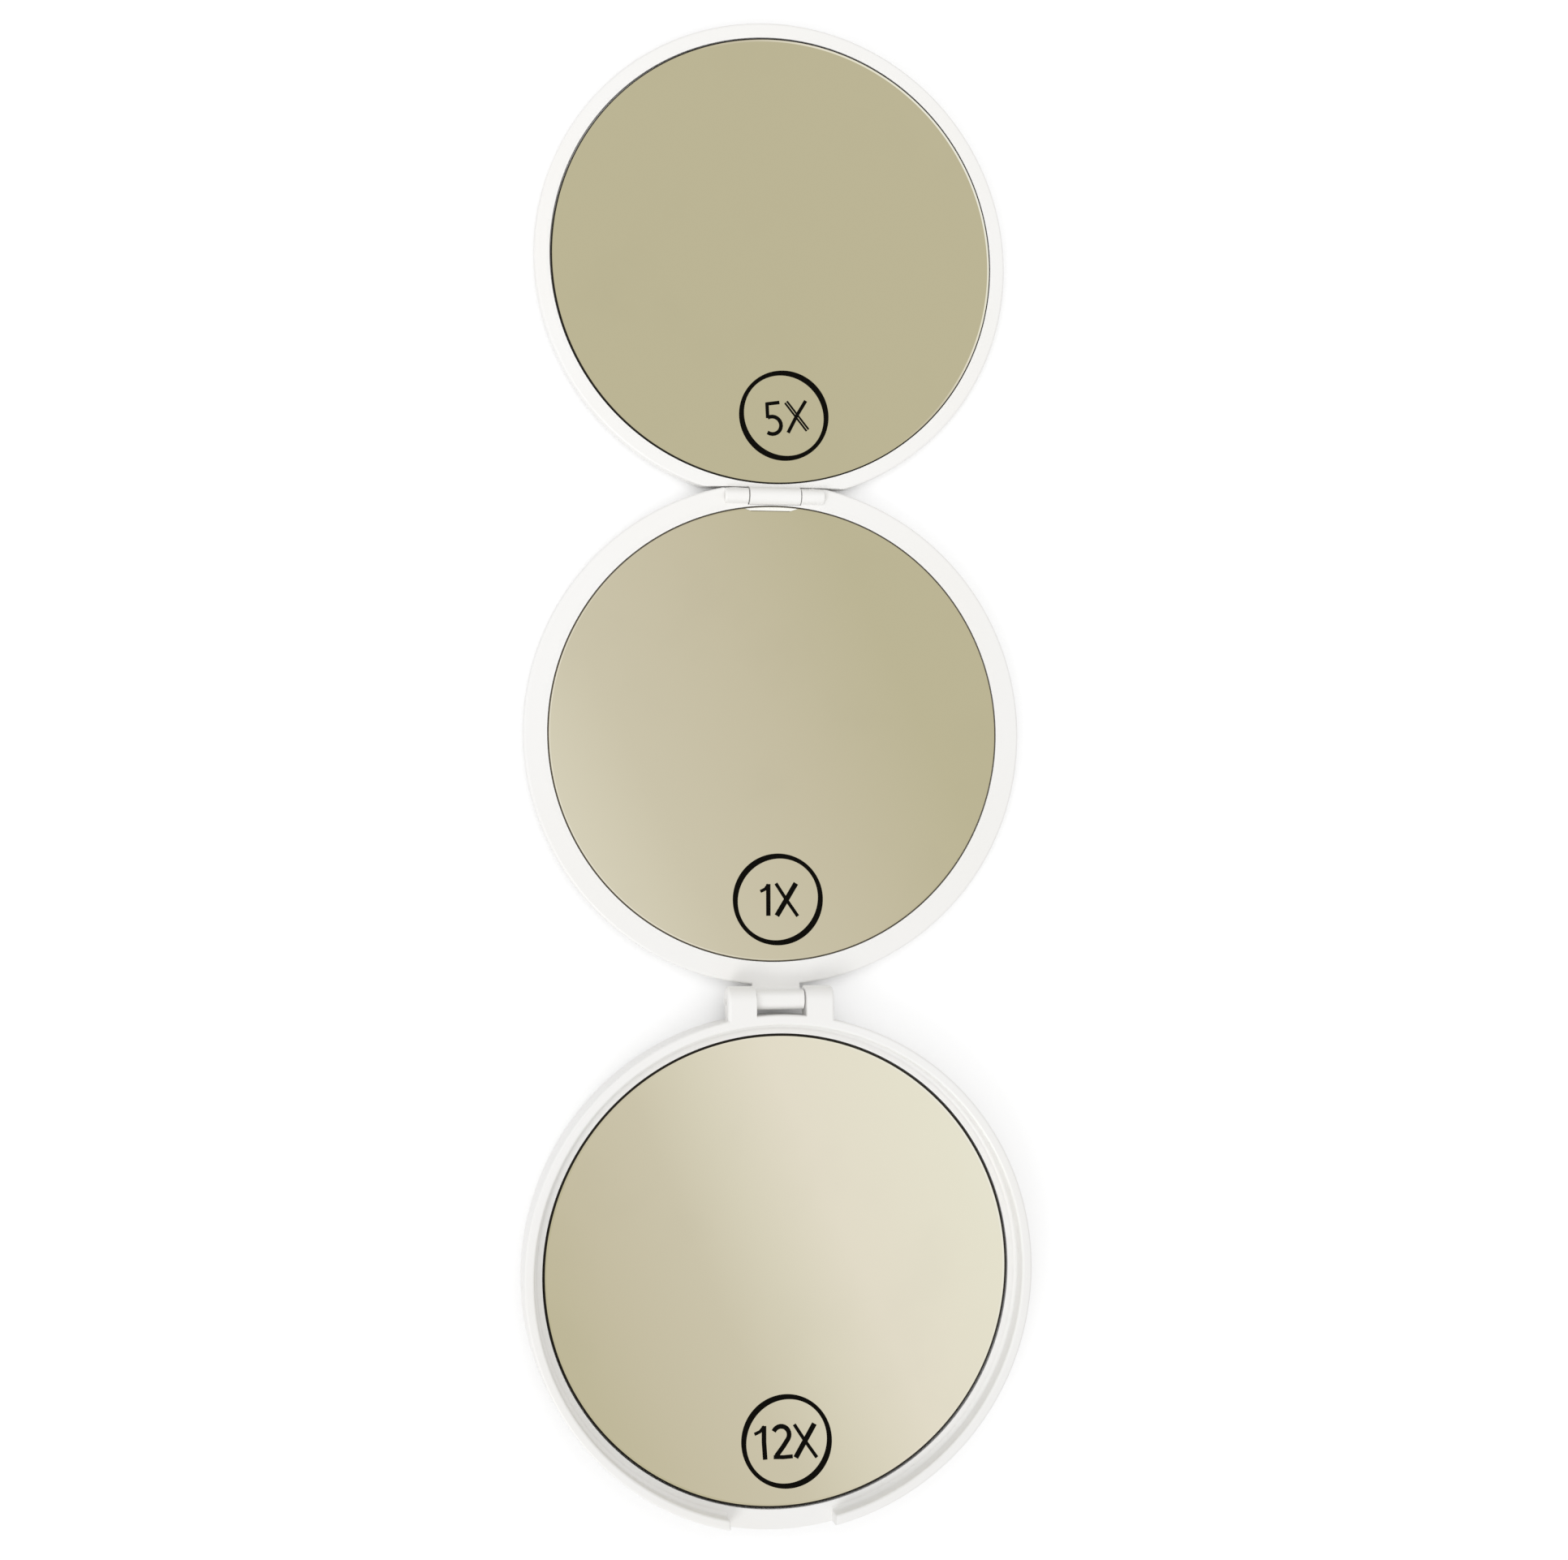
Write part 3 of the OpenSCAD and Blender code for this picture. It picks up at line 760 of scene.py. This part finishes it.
ear = pulled("ear", [(41.0, RIM_H, 0)] + arc(LOWER_AXIS, EAR_R, 90, -105, 26)
             + [(43.0, 4.7, 1.0), (41.0, 4.3, 0)], EAR_IN, EAR_OUT)
bevel_edges(ear, lambda p: abs(p.x - EAR_OUT) < ON_PLANE, size=0.6, segments=6)
boolean(ear, rod(EAR_BORE_R, LOWER_AXIS), "DIFFERENCE")
bpy.ops.mesh.primitive_cylinder_add(vertices=STEPS, radius=EAR_ROOT_R * MM, depth=40 * MM)
boolean(ear, bpy.context.object, "DIFFERENCE")
for part in (other_side(ear), ear):
    boolean(base, part, "UNION")
clean(base)
finish_piece(base, "base", "white_plastic", white_plastic, "base_shell")

# %% [markdown]
# The tray ring fills the foot of the rim. Its flat top is the ledge around the mirror, and a shelf
# inside carries the glass on its tape.

# %% Tray ring of the base
SEAT_R = 39.6
SHELF_H, SHELF_T = 3.238, 0.9
SHELF_R, FOOT_R = 36.2, 37.2
tray = turned("base_ledge_ring", [
    (SHELF_R, FLOOR_H, 0), (FOOT_R, FLOOR_H, 0), (FOOT_R, SHELF_H - SHELF_T, 0),
    (SEAT_R, SHELF_H - SHELF_T, 0), (SEAT_R, FLOOR_H, 0), (WELL_R, FLOOR_H, 0), (WELL_R, LEDGE_H, 0),
    (SEAT_R, LEDGE_H, 0.12), (SEAT_R, SHELF_H, 0), (SHELF_R, SHELF_H, 0)], 0)
finish_piece(tray, "base", "white_plastic", white_plastic, "base_tray")

# %% [markdown]
# The lid is two thin mouldings that snap together: a back cover and a ring that frames the mirror,
# with a fine parting line where they meet on the edge. Both are turned, and then cut flat where the
# upper hinge lies. The cut is a bisect that fills its own face.

# %% Lid cover and lid ring
LID_R, LID_LIP_R = 42.4, 39.0
LID_BACK_T, LID_SHELF_H = 0.9, 1.7
LID_SEAM = 1.45
SEAM_GAP = 0.05
LID_SEAT_R = 38.5
LID_CHORD = 131.45
FRAME_T = 3.25


def cut_flat(piece, y, side):
    """Cuts the piece at the plane y and keeps the part on the other side of it."""
    take(piece)
    bpy.ops.object.mode_set(mode="EDIT")
    bpy.ops.mesh.select_all(action="SELECT")
    bpy.ops.mesh.bisect(plane_co=(0, y * MM, 0), plane_no=(0, side, 0), use_fill=True, clear_outer=True)
    bpy.ops.object.mode_set(mode="OBJECT")
    bevel_edges(piece, lambda p: abs(p.y - y) < ON_PLANE, size=0.08, segments=2)


lid_cover = turned("lid_back_cover", [
    (0, 0, 0), (LID_R, 0, 1.2), (LID_R, LID_SEAM, 0.06), (LID_LIP_R, LID_SEAM, 0),
    (LID_LIP_R, LID_BACK_T, 0), (0, LID_BACK_T, 0)], LID_Y)
cut_flat(lid_cover, LID_CHORD, 1)
clean(lid_cover)
finish_piece(lid_cover, "lid", "white_plastic", white_plastic, "lid_cover")

lid_ring = turned("lid_ring", [
    (0, LID_BACK_T + SEAM_GAP, 0), (LID_LIP_R - SEAM_GAP, LID_BACK_T + SEAM_GAP, 0),
    (LID_LIP_R - SEAM_GAP, LID_SEAM + SEAM_GAP, 0), (LID_R, LID_SEAM + SEAM_GAP, 0.06),
    (LID_R, FRAME_T, 0.4), (LID_SEAT_R, FRAME_T, 0.08), (LID_SEAT_R, LID_SHELF_H, 0),
    (0, LID_SHELF_H, 0)], LID_Y)
cut_flat(lid_ring, LID_CHORD, 1)
print("lid cut flat at", LID_CHORD)

# %% [markdown]
# The lid carries half of each hinge. At its lower edge a knuckle stands up between the base's ears.
# Its section is a rounded block about the pin, with a neck down to the ring. The neck stands a few
# thousandths of a millimetre proud of the ring, because a Boolean can leave stray faces where two
# faces lie in one plane.

# %% Knuckle of the lid
KNUCKLE_HALF = 4.05
KNUCKLE_FRONT, KNUCKLE_BACK, KNUCKLE_TOP = 43.65, 46.95, 7.58
KNUCKLE_ROOT, KNUCKLE_LOW = 48.5, 1.55
KNUCKLE_BORE_R = 0.65
PROUD = 0.004
knuckle = pulled("knuckle", [
    (KNUCKLE_ROOT, FRAME_T + PROUD, 0), (KNUCKLE_BACK, FRAME_T + PROUD, 0.5),
    (KNUCKLE_BACK, KNUCKLE_TOP, 1.3), (KNUCKLE_FRONT, KNUCKLE_TOP, 1.5), (KNUCKLE_FRONT, 4.3, 1.0),
    (46.3, KNUCKLE_LOW, 0.2), (KNUCKLE_ROOT, KNUCKLE_LOW, 0)], -KNUCKLE_HALF, KNUCKLE_HALF)
boolean(knuckle, rod(KNUCKLE_BORE_R, LOWER_AXIS), "DIFFERENCE")
print("knuckle", 2 * KNUCKLE_HALF, "mm wide")

# %% [markdown]
# At the upper edge are two lugs, half-round bars that blend into the ring's face, with room between
# them for the leaf's tongue. The room is cut before the knuckle and the lugs are joined on.

# %% Lugs of the lid
LUG_IN, LUG_OUT, LUG_R = 4.55, 8.55, 1.3
LUG_FOOT, LUG_LOW = 3.246, 2.4
LUG_FRONT, LUG_BACK = UPPER_AXIS[0] - LUG_R, UPPER_AXIS[0] + LUG_R
LUG_BORE_R = 0.51
TONGUE_ROOM_R = 1.5
ROOM_END = 140
ROOM_TOP, ROOM_LOW = 8, LID_SEAM - 0.1
tongue_room = pulled("tongue_room", [(ROOM_END, ROOM_TOP, 0)]
                     + arc(UPPER_AXIS, TONGUE_ROOM_R, 90, 270, 36)
                     + [(UPPER_AXIS[0], ROOM_LOW, 0), (ROOM_END, ROOM_LOW, 0)], -LUG_IN, LUG_IN)
boolean(lid_ring, tongue_room, "DIFFERENCE")
lug = pulled("lug", arc(UPPER_AXIS, LUG_R, 0, 180, 24) + [
    (LUG_FRONT - 0.02, LUG_FOOT, 0.2), (LUG_FRONT - 0.35, LUG_FOOT, 0), (LUG_FRONT - 0.35, LUG_LOW, 0),
    (LUG_BACK, LUG_LOW, 0)], LUG_IN, LUG_OUT)
bevel_edges(lug, lambda p: abs(p.x - LUG_OUT) < ON_PLANE and p.z > 3.2, size=0.3, segments=5)
boolean(lug, rod(LUG_BORE_R, UPPER_AXIS), "DIFFERENCE")
for part in (knuckle, other_side(lug), lug):
    boolean(lid_ring, part, "UNION")
clean(lid_ring)
finish_piece(lid_ring, "lid", "white_plastic", white_plastic, "lid_frame")

# %% [markdown]
# The leaf is made in the same way, but thinner. Its ring has a tongue that lies between the lid's
# lugs. The tongue is round about the pin and runs down to the leaf's face in a hollow curve.

# %% Leaf cover and leaf ring
LEAF_R, LEAF_SEAT_R, LEAF_SHELF_R = 40.5, 38.0, 34.6
LEAF_T, LEAF_BACK_T = 2.953, 0.6
LEAF_SEAM = 1.03
LEAF_CHORD = 131.65
LEAF_SHELF_H = 1.46
leaf_cover = turned("leaf_back_cover", [
    (0, 0, 0), (LEAF_R, 0, 0.95), (LEAF_R, LEAF_SEAM, 0.04), (LEAF_SEAT_R, LEAF_SEAM, 0),
    (LEAF_SEAT_R, LEAF_BACK_T, 0), (0, LEAF_BACK_T, 0)], LEAF_Y)
cut_flat(leaf_cover, LEAF_CHORD, -1)
clean(leaf_cover)
finish_piece(leaf_cover, "leaf", "white_plastic", white_plastic, "leaf_cover")

leaf_ring = turned("leaf_ring", [
    (LEAF_SHELF_R, LEAF_BACK_T + SEAM_GAP, 0), (LEAF_SEAT_R - SEAM_GAP, LEAF_BACK_T + SEAM_GAP, 0),
    (LEAF_SEAT_R - SEAM_GAP, LEAF_SEAM + SEAM_GAP, 0), (LEAF_R, LEAF_SEAM + SEAM_GAP, 0.06),
    (LEAF_R, LEAF_T, 0.4), (LEAF_SEAT_R, LEAF_T, 0.08), (LEAF_SEAT_R, LEAF_SHELF_H, 0),
    (LEAF_SHELF_R, LEAF_SHELF_H, 0)], LEAF_Y)
cut_flat(leaf_ring, LEAF_CHORD, -1)
TONGUE_HALF, TONGUE_R = 4.35, 1.47
TONGUE_ROOT, TONGUE_LOW = 132.13, 1.75
TONGUE_BORE_R = 0.55
tongue = pulled("tongue", [(TONGUE_ROOT, LEAF_T + PROUD, 0), (131.57, LEAF_T + PROUD, 0.42)]
                + arc(UPPER_AXIS, TONGUE_R, 8, 285, 34)
                + [(131.2, TONGUE_LOW, 0.2), (TONGUE_ROOT, TONGUE_LOW, 0)], -TONGUE_HALF, TONGUE_HALF)
boolean(tongue, rod(TONGUE_BORE_R, UPPER_AXIS), "DIFFERENCE")
boolean(leaf_ring, tongue, "UNION")
clean(leaf_ring)
finish_piece(leaf_ring, "leaf", "white_plastic", white_plastic, "leaf_frame")

# %% [markdown]
# Each mirror carries a printed mark. Ink on glass is a thin layer that follows the glass, so a mark
# is drawn flat above the mirror, dropped on the glass with a Shrinkwrap and given the thickness of
# ink with a Solidify. It then stays on the surface however that curves.

# %% Laying ink on glass
INK_T = 0.03
INK_LIFT = INK_T / 3


def lay(piece, glass, lift):
    """Drops a flat piece on the glass, lift millimetres above it, and gives it the thickness of ink."""
    take(piece)
    bpy.ops.object.mode_set(mode="EDIT")
    bpy.ops.mesh.select_all(action="SELECT")
    bpy.ops.transform.translate(value=(0, 0, 10 * MM))
    bpy.ops.object.mode_set(mode="OBJECT")
    wrap = piece.modifiers.new("lay", "SHRINKWRAP")
    wrap.target = glass
    wrap.wrap_method = "PROJECT"
    wrap.use_project_z = True
    wrap.use_positive_direction = False
    wrap.use_negative_direction = True
    wrap.offset = lift * MM
    thicken = piece.modifiers.new("ink", "SOLIDIFY")
    thicken.thickness = INK_T * MM
    thicken.offset = 0
    for modifier in ("lay", "ink"):
        bpy.ops.object.modifier_apply(modifier=modifier)
    bpy.ops.object.mode_set(mode="EDIT")
    bpy.ops.mesh.select_all(action="SELECT")
    bpy.ops.mesh.normals_make_consistent(inside=False)
    bpy.ops.object.mode_set(mode="OBJECT")


print("ink", INK_T, "mm thick")

# %% [markdown]
# A mark is a ring with the mirror's magnification in it. The rings look drawn with a broad pen,
# thick on two sides and thin between. A ring starts as a circle whose edge is extruded and squeezed
# inwards, and a stroke is a narrow face along a line of points. Where strokes cross, each is laid a
# little higher than the one before it, so no two faces share a place.

# %% Rings and strokes
RING_R = 7.73
RING_IN = (7.03, 6.7)
STROKE_STEP = 0.002


def stroke_outline(line, width):
    """The corners of a stroke of this width along a line of points."""
    sides = ([], [])
    for i, point in enumerate(line):
        before, after = line[max(i - 1, 0)], line[min(i + 1, len(line) - 1)]
        along = Vector((after[0] - before[0], after[1] - before[1])).normalized()
        for side, sign in zip(sides, (1, -1)):
            side.append((point[0] - sign * along.y * width / 2, point[1] + sign * along.x * width / 2))
    return sides[0] + sides[1][::-1]


def mark(name, glass, x, y, turn, strokes):
    """A ring at (x, y) that is squeezed across the direction turn, with strokes inside it."""
    bpy.ops.object.select_all(action="DESELECT")
    bpy.ops.mesh.primitive_circle_add(vertices=128, radius=RING_R * MM)
    ring = bpy.context.object
    ring.name = ring.data.name = name
    bpy.ops.object.mode_set(mode="EDIT")
    bpy.ops.mesh.extrude_edges_move()
    bpy.ops.transform.resize(value=(RING_IN[0] / RING_R, RING_IN[1] / RING_R, 1),
                             center_override=(0, 0, 0))
    bpy.ops.mesh.select_all(action="SELECT")
    bpy.ops.transform.rotate(value=math.radians(turn), orient_axis="Z", center_override=(0, 0, 0))
    bpy.ops.transform.translate(value=(x * MM, y * MM, 0))
    bpy.ops.object.mode_set(mode="OBJECT")
    lay(ring, glass, INK_LIFT)
    pieces = []
    for i, (line, width) in enumerate(strokes):
        corners = [(x + across, y + up) for across, up in stroke_outline(line, width)]
        pieces.append(draw("stroke", corners, ACROSS_X, ACROSS_Y))
        bpy.ops.object.mode_set(mode="OBJECT")
        lay(pieces[-1], glass, INK_LIFT + STROKE_STEP * i)
    take(ring)
    for piece in pieces:
        piece.select_set(True)
    bpy.ops.object.join()
    return ring


print("marks", 2 * RING_R, "mm across")

# %% [markdown]
# The marks say 12X, 5X and, on the flat glass, 1X. Each stroke is written as its points, in
# millimetres from the ring's middle, and its width. An X is written once and moved to its place.

# %% Printed marks
def bow(middle, radius, start, end, count):
    """Points of a curved stroke."""
    return [corner[:2] for corner in arc(middle, radius, start, end, count)]


def moved(strokes, across):
    """The same strokes further to the right."""
    return [([(x + across, y) for x, y in line], width) for line, width in strokes]


TWELVE = [([(-5.45, 1.35), (-4.5, 1.75), (-3.75, 2.6)], 0.55),
          ([(-3.8, 2.65), (-3.85, 0), (-3.7, -2.85)], 0.78),
          (bow((-0.92, 1.1), 1.38, 155, -30, 12) + [(-0.6, -0.85), (-1.8, -2.35)], 0.8),
          ([(-2.25, -2.5), (-0.6, -2.58), (1.0, -2.5)], 0.66)]
FIVE = [([(-3.1, 1.9), (-0.75, 2.25)], 0.6),
        ([(-2.9, 2.15), (-2.8, -0.5)], 0.6),
        (bow((-2.0, -1.7), 1.5, 122, -125, 14), 0.66)]
ONE = [([(-3.0, 1.35), (-2.2, 1.75), (-1.6, 2.5)], 0.55),
       ([(-1.65, 2.6), (-1.65, -2.75)], 0.75)]
BROAD_X = [([(-1.75, 2.7), (-0.2, 0.3), (2.0, -2.85)], 0.58),
           ([(1.7, 2.7), (0.2, 0.2), (-1.6, -2.75)], 0.88)]
SPLIT_X = [([(-1.95, 2.2), (1.75, -2.55)], 0.32),
           ([(-1.6, 2.5), (2.1, -2.25)], 0.32),
           ([(1.65, 2.65), (0.1, 0.1), (-1.45, -2.9)], 0.6)]
for name, body, glass, x, y, turn, strokes in (
        ("mark_12x", "base", base_glass, 1.45, -28.65, -45, TWELVE + moved(BROAD_X, 3.1)),
        ("mark_5x", "leaf", leaf_glass, 1.85, LEAF_Y - 26.25, 45, FIVE + moved(SPLIT_X, 2.15)),
        ("mark_1x", "lid", lid_glass, 0.4, LID_Y - 28.0, -45, ONE + moved(BROAD_X, 1.4))):
    finish_piece(mark(name, glass, x, y, turn, strokes), body, None, ink)

# %% [markdown]
# Colours are shown as they are, without a film look.

# %% Colour view and the end
bpy.context.scene.view_settings.view_transform = "Standard"
